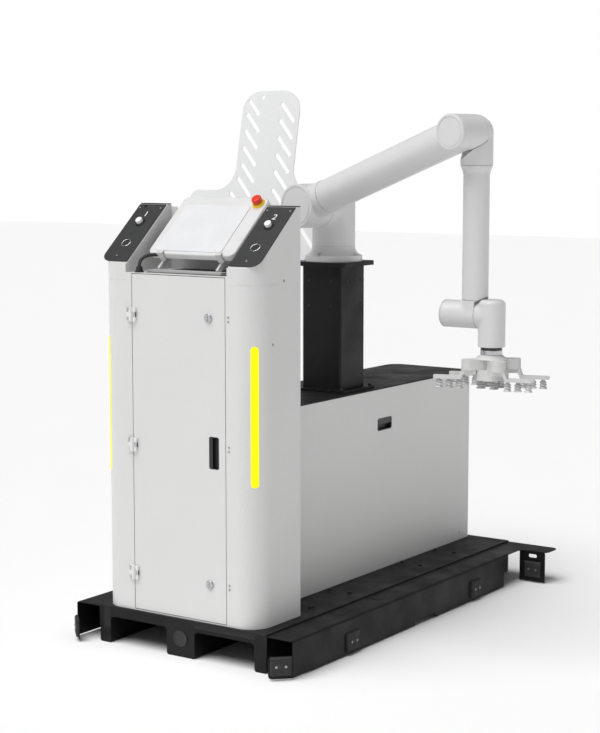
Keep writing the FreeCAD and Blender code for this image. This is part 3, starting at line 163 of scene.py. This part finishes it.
def powder_coat(name, colour, rough=0.45, grain=1100, depth=0.00006, dust=1.03):
    """Baked powder paint: orange-peel relief, faint clouding and duller patches."""
    f = Finish(name, colour, rough)
    f.tint(f.noise(3.1, 5), shade(colour, dust), 0.4, 0.75)
    f.tint(f.noise(160, 2), shade(colour, 2 - dust), 0.45, 0.8)
    f.gloss(f.noise(6.5, 6), rough - 0.05, rough + 0.07)
    f.bump(f.noise(grain, 2), depth, 0.35)
    f.bump(f.noise(grain / 6, 3), depth * 2, 0.15)
    return f.material


def textured_black(name, colour, rough=0.5, wear=2.2):
    """Coarse black powder coat with a leathery grain and rubbed, dustier patches."""
    f = Finish(name, colour, rough)
    f.tint(f.noise(4.3, 7), shade(colour, wear), 0.48, 0.85)
    f.tint(f.noise(90, 3, (1, 1, 0.2)), shade(colour, 0.6), 0.5, 0.8)
    f.gloss(f.noise(9, 6), rough - 0.1, rough + 0.12)
    f.bump(f.cells(700), 0.00018, 0.35)
    f.specular(0.25)
    f.bump(f.noise(1400, 2), 0.00006, 0.4)
    return f.material


def moulded(name, colour, rough=0.4, grain=2200, depth=0.00004):
    """Moulded plastic with a fine spark-eroded grain."""
    f = Finish(name, colour, rough)
    f.tint(f.noise(12, 4), shade(colour, 1.06), 0.4, 0.8)
    f.gloss(f.noise(40, 4), rough - 0.05, rough + 0.06)
    f.bump(f.cells(grain), depth, 0.4)
    f.specular(0.45)
    return f.material


def rubber(name, colour, rough=0.75):
    """Dull rubber or silicone with dusty bloom."""
    f = Finish(name, colour, rough)
    f.tint(f.noise(30, 6), shade(colour, 1.9), 0.5, 0.85)
    f.gloss(f.noise(70, 5), rough - 0.12, rough + 0.1)
    f.bump(f.noise(900, 4), 0.0001, 0.4)
    return f.material


def metal(name, colour, rough=0.3, brushed=(1, 1, 1), scale=900):
    """Bare metal with fine tool or brush marks stretched along one axis."""
    f = Finish(name, colour, rough, metal=1.0)
    f.tint(f.noise(25, 5), shade(colour, 0.85), 0.4, 0.8)
    f.gloss(f.noise(scale, 4, brushed), rough - 0.1, rough + 0.14)
    f.bump(f.noise(scale, 3, brushed), 0.00003, 0.35)
    return f.material


def lit_lens(name, colour, glow):
    """A diffusing light cover: brighter over its lamps, softly darker between them."""
    f = Finish(name, colour, 0.25)
    wave = f.tree.nodes.new("ShaderNodeTexWave")
    wave.bands_direction = "Z"
    wave.inputs["Scale"].default_value = 12
    wave.inputs["Distortion"].default_value = 0.4
    f.tree.links.new(f.place, wave.inputs["Vector"])
    f.tint(wave.outputs["Fac"], shade(colour, 0.93), 0.2, 0.9)
    f.specular(0.2)
    f.shader.inputs["Emission Color"].default_value = (*colour, 1)
    f.shader.inputs["Emission Strength"].default_value = glow
    return f.material


WHITE = (0.68, 0.68, 0.675)
MATERIALS = {
    "cabinet_paint": powder_coat("cabinet_paint", WHITE, 0.42),
    "robot_paint": powder_coat("robot_paint", (0.66, 0.66, 0.66), 0.36, grain=1800, depth=0.00003, dust=1.02),
    "base_paint": textured_black("base_paint", (0.0055, 0.0055, 0.006), 0.5, 1.3),
    "deck_paint": textured_black("deck_paint", (0.0095, 0.0098, 0.0105), 0.52, 1.25),
    "plug_plastic": moulded("plug_plastic", (0.02, 0.02, 0.02), 0.5),
    "pad_rubber": rubber("pad_rubber", (0.022, 0.022, 0.024)),
    "black_steel": metal("black_steel", (0.06, 0.06, 0.065), 0.42),
    "bright_steel": metal("bright_steel", (0.40, 0.40, 0.41), 0.34),
    "light_lens": lit_lens("light_lens", (0.90, 0.87, 0.0), 0.5),
    "panel_plastic": moulded("panel_plastic", (0.015, 0.0155, 0.017), 0.42, 1800),
    "bezel_plastic": moulded("bezel_plastic", (0.03, 0.03, 0.032), 0.25),
    "button_white": moulded("button_white", (0.90, 0.90, 0.90), 0.2),
    "ring_steel": metal("ring_steel", (0.50, 0.50, 0.52), 0.25, (1, 1, 0.1)),
    "hinge_paint": powder_coat("hinge_paint", (0.76, 0.76, 0.755), 0.4),
    "pull_plastic": moulded("pull_plastic", (0.018, 0.018, 0.02), 0.4),
    "latch_chrome": metal("latch_chrome", (0.50, 0.50, 0.51), 0.2, (1, 0.1, 1)),
    "pendant_plastic": moulded("pendant_plastic", (0.66, 0.66, 0.66), 0.42, 1500, 0.00006),
    "screen_cover": moulded("screen_cover", (0.69, 0.695, 0.71), 0.42, 1500, 0.00004),
    "cradle_paint": powder_coat("cradle_paint", (0.56, 0.56, 0.56), 0.4),
    "cable_jacket": rubber("cable_jacket", (0.025, 0.025, 0.027), 0.6),
    "collar_yellow": moulded("collar_yellow", (0.90, 0.62, 0.03), 0.3),
    "stop_red": moulded("stop_red", (0.75, 0.04, 0.015), 0.25),
    "controller_grey": powder_coat("controller_grey", (0.20, 0.21, 0.22), 0.45),
    "pump_metal": metal("pump_metal", (0.45, 0.46, 0.48), 0.4),
    "guard_paint": powder_coat("guard_paint", (0.76, 0.765, 0.77), 0.4),
    "drive_metal": metal("drive_metal", (0.50, 0.50, 0.52), 0.35),
    "flange_black": moulded("flange_black", (0.03, 0.03, 0.032), 0.4),
    "adapter_metal": metal("adapter_metal", (0.55, 0.55, 0.56), 0.28, (1, 1, 8)),
    "gripper_plastic": moulded("gripper_plastic", (0.62, 0.62, 0.615), 0.5, 1300, 0.00008),
    "cup_silicone": rubber("cup_silicone", (0.46, 0.46, 0.46), 0.45),
}
SEAL = moulded("seal_grey", (0.42, 0.42, 0.425), 0.5)
SLOT_OF = {p["node"]: p["material_slot"] for p in frame["record"]["subparts"]}
BODY_OF = {n: b for b, ns in frame["record"]["behaviour"]["bodies"].items() for n in ns}
JOINTS = {j["name"]: j for j in frame["joints"]}


def finish_with(thing, slot):
    """Gives an object a slot's material."""
    thing.data.materials.clear()
    thing.data.materials.append(MATERIALS[slot])
    return thing


for name, thing in frame["nodes"].items():
    finish_with(thing, SLOT_OF[name])


# ---------------------------------------------------------------- mesh tools

def add(name, mesh, body, slot, smooth_angle=35):
    """Makes a piece from a bmesh, shades it, and lets it ride on a body."""
    data = bpy.data.meshes.new(name)
    mesh.to_mesh(data)
    mesh.free()
    piece = bpy.data.objects.new(name, data)
    bpy.context.scene.collection.objects.link(piece)
    data.shade_smooth()
    data.set_sharp_from_angle(angle=math.radians(smooth_angle))
    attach(piece, body)
    return finish_with(piece, slot)


def modified(piece, kind, **values):
    """Applies one modifier to a piece's mesh at once."""
    m = piece.modifiers.new(kind, kind)
    for key, value in values.items():
        setattr(m, key, value)
    graph = bpy.context.evaluated_depsgraph_get()
    done = bpy.data.meshes.new_from_object(piece.evaluated_get(graph))
    piece.modifiers.clear()
    piece.data = done
    return piece


def softened(node, width, angle=35, segments=2):
    """A copy of a CAD node with its sharp edges eased, which stands for the node."""
    mesh = bmesh.new()
    mesh.from_mesh(frame["nodes"][node].data)
    bmesh.ops.remove_doubles(mesh, verts=mesh.verts, dist=0.00001)
    bmesh.ops.dissolve_limit(mesh, angle_limit=math.radians(0.5), verts=mesh.verts, edges=mesh.edges)
    piece = add(node + "_finished", mesh, BODY_OF[node], SLOT_OF[node], angle)
    modified(piece, "BEVEL", width=width, segments=segments, limit_method="ANGLE",
             angle_limit=math.radians(angle), harden_normals=False, use_clamp_overlap=True)
    piece.data.shade_smooth()
    piece.data.set_sharp_from_angle(angle=math.radians(angle))
    modified(piece, "WEIGHTED_NORMAL", mode="FACE_AREA", weight=50, keep_sharp=True)
    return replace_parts(piece, node)


HOLLOW = 0.000004    # a point this far below its neighbours' mean is in a hollow crease


def filleted(piece, rounds, share=0.5):
    """Fills a dense mesh's hollow creases step by step and leaves what bulges outward alone."""
    data = piece.data
    count = len(data.vertices)
    at = np.empty(count * 3)
    data.vertices.foreach_get("co", at)
    at = at.reshape(-1, 3)
    pairs = np.empty(len(data.edges) * 2, np.int64)
    data.edges.foreach_get("vertices", pairs)
    a, b = pairs[0::2], pairs[1::2]
    degree = np.bincount(pairs, minlength=count).astype(float)
    for _ in range(rounds):
        total = np.zeros((count, 3))
        for axis in range(3):
            total[:, axis] = np.bincount(a, at[b, axis], count) + np.bincount(b, at[a, axis], count)
        pull = total / degree[:, None] - at
        normals = np.empty(count * 3)
        data.vertex_normals.foreach_get("vector", normals)
        outward = (pull * normals.reshape(-1, 3)).sum(1)
        move = outward > HOLLOW
        at = at + pull * (move * share)[:, None]
        data.vertices.foreach_set("co", at.ravel())
        data.update()
    return piece


def bar(mesh, start, end, radius, end_radius=None):
    """Adds a closed round bar or cone between two points."""
    run = end - start
    middle = Matrix.Translation((start + end) / 2) @ Z.rotation_difference(run).to_matrix().to_4x4()
    bmesh.ops.create_cone(mesh, cap_ends=True, segments=96, radius1=radius, depth=run.length, matrix=middle,
                          radius2=radius if end_radius is None else end_radius)


def ball(mesh, at, radius):
    """Adds a closed ball."""
    bmesh.ops.create_uvsphere(mesh, u_segments=64, v_segments=32, radius=radius,
                              matrix=Matrix.Translation(at))


def turned(name, profile, origin, axis, body, slot, segments=96):
    """A piece turned about an axis from (radius, distance along the axis) points."""
    mesh = bmesh.new()
    spin = Z.rotation_difference(axis).to_matrix()
    rings = []
    for i in range(segments):
        angle = 2 * math.pi * i / segments
        way = Vector((math.cos(angle), math.sin(angle), 0))
        rings.append([mesh.verts.new(origin + spin @ (way * r + Z * h)) for r, h in profile])
    count = len(profile)
    for i, ring in enumerate(rings):
        after = rings[(i + 1) % segments]
        for j in range(count):
            k = (j + 1) % count
            mesh.faces.new((ring[j], after[j], after[k], ring[k]))
    bmesh.ops.remove_doubles(mesh, verts=mesh.verts, dist=0.000001)
    bmesh.ops.recalc_face_normals(mesh, faces=mesh.faces)
    return add(name, mesh, body, slot)


def casting(node, mesh, cutters=(), voxel=0.0025, rounds=60):
    """A smooth casting in place of a node: bars grown together, their inner corners blended, then cut."""
    piece = add(node + "_casting", mesh, BODY_OF[node], SLOT_OF[node])
    modified(piece, "REMESH", mode="VOXEL", voxel_size=voxel, adaptivity=0.0)
    filleted(piece, rounds)
    for start, end, radius in cutters:
        tool = bmesh.new()
        bar(tool, start, end, radius)
        data = bpy.data.meshes.new("cutter")
        tool.to_mesh(data)
        tool.free()
        cutter = bpy.data.objects.new("cutter", data)
        bpy.context.scene.collection.objects.link(cutter)
        modified(piece, "BOOLEAN", operation="DIFFERENCE", solver="EXACT", object=cutter)
        bpy.data.objects.remove(cutter)
    finish_with(piece, SLOT_OF[node])
    piece.data.shade_smooth()
    piece.data.set_sharp_from_angle(angle=math.radians(40))
    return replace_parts(piece, node)


# ---------------------------------------------------------------- the arm's castings
# Radii and distances in metres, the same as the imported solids'; the places come from the joints' axes.
# OUT is the way that the shoulder and elbow face, and ALONG runs up the upper arm.

NECK, ROOT, TUBE, DRUM = 0.090, 0.0703, 0.0678, 0.066
HOUSING, FOREARM, WRIST, HAND = 0.062, 0.0505, 0.053, 0.052
SEAM = 0.0004
TURRET_FACE, TUBE_OUT, CAP_FACE, ROOT_LENGTH = 0.092, 0.155, 0.214, 0.118
HOUSING_FACE, TUBE_FACE, ELBOW_FACE = 0.086, 0.0874, 0.227
TUBE_REACH, FLARE, FLARE_LENGTH, FLARE_LIP = 0.057, 0.061, 0.030, 0.004
WRIST_LEFT, WRIST_CLEAR, HAND_DOWN, HAND_UP = 0.1255, 0.070, 0.1197, 0.061
HAND_DOME = ((0.017, HAND), (0.010, 0.050), (0.004, 0.044), (0, 0.036))
# how far the upper arm's tube clears the elbow's housing, by the joint's bend in degrees
TUBE_SWEEP = ((0, 0.0690), (5, 0.0715), (10, 0.0730), (14, 0.0730))
DRUM_SWEEP = 0.0700


def joint_at(name):
    return Vector(JOINTS[name]["pos_m"])


COLUMN, SHOULDER, ELBOW = joint_at("base_rotation"), joint_at("shoulder_tilt"), joint_at("elbow_bend")
ROLL, BEND, FLANGE = joint_at("forearm_roll"), joint_at("wrist_bend"), joint_at("flange_rotation")
OUT = Vector(JOINTS["shoulder_tilt"]["axis"])
ALONG = (ELBOW - SHOULDER).normalized()
TUBE_ROOT = SHOULDER + OUT * TUBE_OUT + ALONG * ROOT_LENGTH
WRIST_AT = Vector((ROLL.x, ROLL.y, BEND.z))


def make_shoulder():
    """The turret, the shoulder's casting and the upper arm's tube with its drum."""
    mesh = bmesh.new()
    bar(mesh, COLUMN, SHOULDER, NECK)
    bar(mesh, SHOULDER, SHOULDER + OUT * TURRET_FACE, NECK)
    ball(mesh, SHOULDER, NECK)
    casting("turret_housing", mesh)

    mesh = bmesh.new()
    bar(mesh, SHOULDER + OUT * (TURRET_FACE + SEAM), SHOULDER + OUT * CAP_FACE, NECK)
    bar(mesh, SHOULDER + OUT * TUBE_OUT, TUBE_ROOT, ROOT)
    beyond_cap = (SHOULDER + OUT * (CAP_FACE + 0.0001), SHOULDER + OUT * 0.25, NECK + SEAM)
    casting("shoulder_casting", mesh, [beyond_cap])

    mesh = bmesh.new()
    bar(mesh, TUBE_ROOT, ELBOW + OUT * TUBE_OUT, TUBE)
    bar(mesh, ELBOW + OUT * TUBE_FACE, ELBOW + OUT * ELBOW_FACE, TUBE)
    behind_drum = (ELBOW + OUT * 0.04, ELBOW + OUT * TUBE_FACE, 2 * TUBE)
    casting("upper_tube", mesh, [behind_drum], rounds=25)


def make_elbow():
    """The elbow's housing, hollowed where the upper arm's drum and tube pass as it bends."""
    mesh = bmesh.new()
    crown = Vector((ROLL.x, ROLL.y, ELBOW.z))
    bar(mesh, ROLL, crown, HOUSING)
    ball(mesh, crown, HOUSING)
    bar(mesh, ELBOW + OUT * 0.070, ELBOW + OUT * HOUSING_FACE, DRUM)
    level = Vector((-OUT.y, OUT.x, 0))
    clears = [(ELBOW + OUT * (HOUSING_FACE + 0.0007), ELBOW + OUT * 0.2, DRUM_SWEEP)]
    for bent, radius in TUBE_SWEEP:
        angle = math.asin(ALONG.z) + math.radians(bent)
        way = -level * math.cos(angle) - Z * math.sin(angle)
        clears.append((ELBOW + OUT * TUBE_OUT, ELBOW + OUT * TUBE_OUT + way * 0.18, radius))
    casting("elbow_housing", mesh, clears, rounds=30)


def make_wrist():
    """The forearm's tube, the wrist's casting and the hand, rounded at its top."""
    mesh = bmesh.new()
    seam = ROLL - Z * SEAM
    taper, lip = seam - Z * FLARE_LENGTH, seam - Z * FLARE_LIP
    bar(mesh, WRIST_AT + Z * TUBE_REACH, taper, FOREARM)
    bar(mesh, taper, lip, FOREARM, FLARE)
    bar(mesh, lip, seam, FLARE)
    clear = (BEND, BEND + X * 0.1, WRIST_CLEAR)
    casting("forearm_tube", mesh, [clear], rounds=40)

    mesh = bmesh.new()
    bar(mesh, WRIST_AT - X * WRIST_LEFT, BEND, WRIST)
    bar(mesh, WRIST_AT, WRIST_AT + Z * (TUBE_REACH - 0.0001), FOREARM)
    casting("wrist_casting", mesh, [clear])

    mesh = bmesh.new()
    hand = Vector((FLANGE.x, FLANGE.y, BEND.z))
    top = hand + Z * HAND_UP
    bar(mesh, hand - Z * HAND_DOWN, top - Z * HAND_DOME[0][0], HAND)
    for (start, r), (end, s) in zip(HAND_DOME, HAND_DOME[1:]):
        bar(mesh, top - Z * start, top - Z * end, r, s)
    bar(mesh, BEND + X * SEAM, hand, WRIST)
    casting("wrist_housing", mesh)


def make_seals():
    """The thin grey rings that show where two castings or a cap and its casting meet."""
    seals = (("turret", COLUMN, Z, NECK - 0.0005, "station"),
             ("shoulder", SHOULDER + OUT * 0.0922, OUT, NECK - 0.0005, "turret"),
             ("cap", SHOULDER + OUT * CAP_FACE, OUT, NECK - 0.0005, "upper_arm"),
             ("tube", TUBE_ROOT, ALONG, TUBE + 0.0007, "upper_arm"),
             ("elbow", ELBOW + OUT * (HOUSING_FACE + 0.0007), OUT, DRUM - 0.0005, "upper_arm"),
             ("elbow_cap", ELBOW + OUT * ELBOW_FACE, OUT, TUBE - 0.0003, "upper_arm"),
             ("roll", ROLL, Z, FLARE - 0.0002, "elbow"),
             ("bend", BEND, X, WRIST - 0.0004, "forearm"),
             ("wrist_cap", WRIST_AT - X * WRIST_LEFT, X, WRIST - 0.0004, "forearm"),
             ("tube_end", WRIST_AT + Z * TUBE_REACH, Z, FOREARM - 0.0003, "forearm"))
    deep, half, proud = 0.002, 0.0006, 0.0003
    for name, at, axis, radius, body in seals:
        profile = [(radius - deep, -half), (radius, -half), (radius + proud, 0), (radius, half),
                   (radius - deep, half)]
        piece = turned("seal_" + name, profile, at, axis, body, "robot_paint")
        piece.data.materials[0] = SEAL


# ---------------------------------------------------------------- small fittings

# the sloped panels' plane: X runs to the right, Y up the slope and Z out of it
SLOPE = Matrix.Translation((0, -0.942, 1.494)) @ Matrix.Rotation(math.radians(40.6), 4, "X")
PANEL_FACE, NUMERAL_UP, RING_UP, NUMERAL_SIZE = 0.004, 0.270, 0.106, 0.040
NUMERALS = (("1", "left", -0.327), ("2", "right", 0.287))
LIGHT_RING = [(0.0172, 0.0), (0.0172, 0.0009), (0.0178, 0.0012), (0.0199, 0.0012), (0.0205, 0.0009),
              (0.0205, 0.0)]
CABLE_RADIUS, CABLE_LENGTH = 0.0065, 0.100
CABLE_ROUTE = [(-0.212, -0.925, 1.482), (-0.212, -0.925, 1.530), (-0.178, -0.856, 1.524)]
HINGE_HEIGHTS = (1.301, 0.800, 0.298)
HINGE_HALF, LEAF_NEAR, LEAF_FAR, LEAF_DEPTH = 0.0265, 0.0082, 0.021, 0.0085
# painted shade: the dark strips that fill the door's gap start and end this far behind the door's front, and
# lie between these distances out from its edges
GAP_SHADE_FRONT, GAP_SHADE_BACK, GAP_SHADE_WIDE, GAP_SHADE_NARROW = 0.0015, 0.006, 0.0024, 0.0002


def make_panel_marks():
    """The numerals beside the buttons and the light rings round the lower ones."""
    axis = (SLOPE.to_3x3() @ Z).normalized()
    for text, side, x in NUMERALS:
        words = bpy.data.curves.new("numeral_" + text, "FONT")
        words.body, words.size, words.extrude = text, NUMERAL_SIZE, 0.0001
        words.align_x, words.align_y = "CENTER", "CENTER"
        numeral = bpy.data.objects.new("numeral_" + text, words)
        numeral.matrix_world = SLOPE @ Matrix.Translation((x, NUMERAL_UP, PANEL_FACE + 0.0002))
        bpy.context.scene.collection.objects.link(numeral)
        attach(numeral, "station")
        finish_with(numeral, "button_white")
        centre = SLOPE @ Vector((x, RING_UP, PANEL_FACE))
        turned("light_ring_" + side, LIGHT_RING, centre, axis, "station", "ring_steel")
        frame["nodes"]["ring_button_" + side].data.materials[0] = MATERIALS["bezel_plastic"]


def make_cable():
    """The pendant's cable: out of the gland in the tray, up and back into the pendant's lower edge.

    The bevel is a metre and each point's radius scales it, so the curve's box is as tight as its tube.
    """
    data = bpy.data.curves.new("pendant_cable_cord", "CURVE")
    data.dimensions = "3D"
    data.bevel_depth, data.bevel_resolution, data.resolution_u = 1.0, 8, 24
    data.use_fill_caps = True
    line = data.splines.new("NURBS")
    line.points.add(len(CABLE_ROUTE) - 1)
    for point, at in zip(line.points, CABLE_ROUTE):
        point.co = (*at, 1)
        point.radius = CABLE_RADIUS
    line.order_u = 3
    line.use_endpoint_u = True
    cable = bpy.data.objects.new("pendant_cable_cord", data)
    bpy.context.scene.collection.objects.link(cable)
    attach(cable, "station")
    finish_with(cable, "cable_jacket")
    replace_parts(cable, "pendant_cable")


def panel(name, low, high, body, slot, ease=0.0003):
    """A thin sheet or plate between two corners, its edges eased."""
    mesh = bmesh.new()
    bmesh.ops.create_cube(mesh, size=1, matrix=Matrix.Translation((low + high) / 2)
                          @ Matrix.Diagonal((*(high - low), 1)))
    piece = add(name, mesh, body, slot)
    return modified(piece, "BEVEL", width=ease, segments=2)


def make_painted_shade_sheets():
    """Painted shade: dark strips in the gap round the door and a dark sheet on the pendant's tray floor,
    which make the gap and the tray's recess read darker.
    """
    low, high = (Vector(corner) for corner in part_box("cabinet_door"))
    front, back, wide, narrow = low.y + GAP_SHADE_FRONT, low.y + GAP_SHADE_BACK, GAP_SHADE_WIDE, GAP_SHADE_NARROW
    # painted shade: dark strips fill the door's gap all round so that the gap reads dark
    for name, x0, x1, z0, z1 in (("left", low.x - wide, low.x - narrow, low.z - wide, high.z + wide),
                                 ("right", high.x + narrow, high.x + wide, low.z - wide, high.z + wide),
                                 ("lower", low.x - narrow, high.x + narrow, low.z - wide, low.z - narrow),
                                 ("upper", low.x - narrow, high.x + narrow, high.z + narrow, high.z + wide)):
        panel("door_gap_shade_" + name, Vector((x0, front, z0)), Vector((x1, back, z1)), "station",
              "cable_jacket")
    # painted shade: a dark sheet on the tray's floor darkens the recess under the pendant
    panel("tray_shade_sheet", Vector((-0.190, -0.918, 1.4602)), Vector((0.210, -0.672, 1.4615)), "station",
          "panel_plastic")


def make_hinge_plates():
    """Full-height plates either side of each hinge's barrel, one on the cabinet and one on the door."""
    pin = joint_at("door_hinge")
    for i, height in enumerate(HINGE_HEIGHTS):
        for side, body in ((-1, "station"), (1, "door")):
            x0, x1 = sorted((pin.x + side * LEAF_NEAR, pin.x + side * LEAF_FAR))
            low = Vector((x0, pin.y - 0.001, height - HINGE_HALF))
            high = Vector((x1, pin.y + LEAF_DEPTH, height + HINGE_HALF))
            panel(f"hinge_plate_{i}_{body}", low, high, body, "hinge_paint", 0.0012)


# ---------------------------------------------------------------- room, light and camera

FLOOR_HALF, FLOOR_WHITE = 30, 0.93
# the sky is white round the horizon and dims towards the top, by the height of a ray's direction
SKY_FADE = (("From Min", 0.10), ("From Max", 0.30), ("To Min", 1.0), ("To Max", 0.15))
CAMERA_AT, CAMERA_AZIMUTH, CAMERA_PITCH, CAMERA_LENS = (4.033, -6.081, 1.9135), 34.218, 6.985, 85.98
EASED = {"cabinet_shell": 0.0012, "cabinet_door": 0.0015, "deck_plate": 0.001, "base_frame": 0.002,
         "skirt_left": 0.0008, "skirt_right": 0.0008, "guard_plate": 0.001, "low_cabinet": 0.0015,
         "low_cabinet_top": 0.0012, "column": 0.001, "button_panel_left": 0.001, "button_panel_right": 0.001}


def make_room():
    """A wide pale floor under a white sky."""
    mesh = bmesh.new()
    bmesh.ops.create_grid(mesh, x_segments=2, y_segments=2, size=FLOOR_HALF)
    data = bpy.data.meshes.new("floor")
    mesh.to_mesh(data)
    mesh.free()
    floor = bpy.data.objects.new("floor", data)
    bpy.context.scene.collection.objects.link(floor)
    pale = Finish("floor_pale", (FLOOR_WHITE,) * 3, 0.8)
    pale.gloss(pale.noise(2, 3), 0.75, 0.85)
    data.materials.append(pale.material)
    world = bpy.data.worlds.new("studio")
    bpy.context.scene.world = world
    world.use_nodes = True
    nodes, links = world.node_tree.nodes, world.node_tree.links
    nodes["Background"].inputs["Color"].default_value = (1, 1, 1, 1)
    where = nodes.new("ShaderNodeTexCoord")
    parts = nodes.new("ShaderNodeSeparateXYZ")
    fade = nodes.new("ShaderNodeMapRange")
    fade.interpolation_type = "SMOOTHSTEP"
    links.new(where.outputs["Generated"], parts.inputs["Vector"])
    links.new(parts.outputs["Z"], fade.inputs["Value"])
    for socket, number in SKY_FADE:
        fade.inputs[socket].default_value = number
    links.new(fade.outputs["Result"], nodes["Background"].inputs["Strength"])


def soft_sun(name, towards, strength, spread):
    """A broad, even light from far away, shining along a direction."""
    data = bpy.data.lights.new(name, "SUN")
    data.energy, data.angle = strength, math.radians(spread)
    light = bpy.data.objects.new(name, data)
    light.rotation_euler = Vector(towards).to_track_quat("-Z", "Y").to_euler()
    bpy.context.scene.collection.objects.link(light)


def make_camera():
    """A camera with a long lens, right of the cabinet's front and looking slightly down on it."""
    azimuth, pitch = math.radians(CAMERA_AZIMUTH), math.radians(CAMERA_PITCH)
    level = math.cos(pitch)
    look = Vector((-math.sin(azimuth) * level, math.cos(azimuth) * level, -math.sin(pitch)))
    data = bpy.data.cameras.new("camera")
    data.lens, data.sensor_width = CAMERA_LENS, 36
    data.sensor_fit = "AUTO"
    data.clip_end = 100
    camera = bpy.data.objects.new("camera", data)
    camera.location = CAMERA_AT
    camera.rotation_euler = look.to_track_quat("-Z", "Y").to_euler()
    bpy.context.scene.collection.objects.link(camera)
    bpy.context.scene.camera = camera


make_room()
make_camera()
bpy.context.scene.view_settings.view_transform = "Standard"
soft_sun("key", towards=(0.15, 0.38, -0.91), strength=3.0, spread=50)
make_cable()
# painted shade in the door's gap and in the pendant's tray
make_painted_shade_sheets()
make_hinge_plates()
make_shoulder()
make_elbow()
make_wrist()
make_seals()
make_panel_marks()
for node, width in EASED.items():
    softened(node, width)
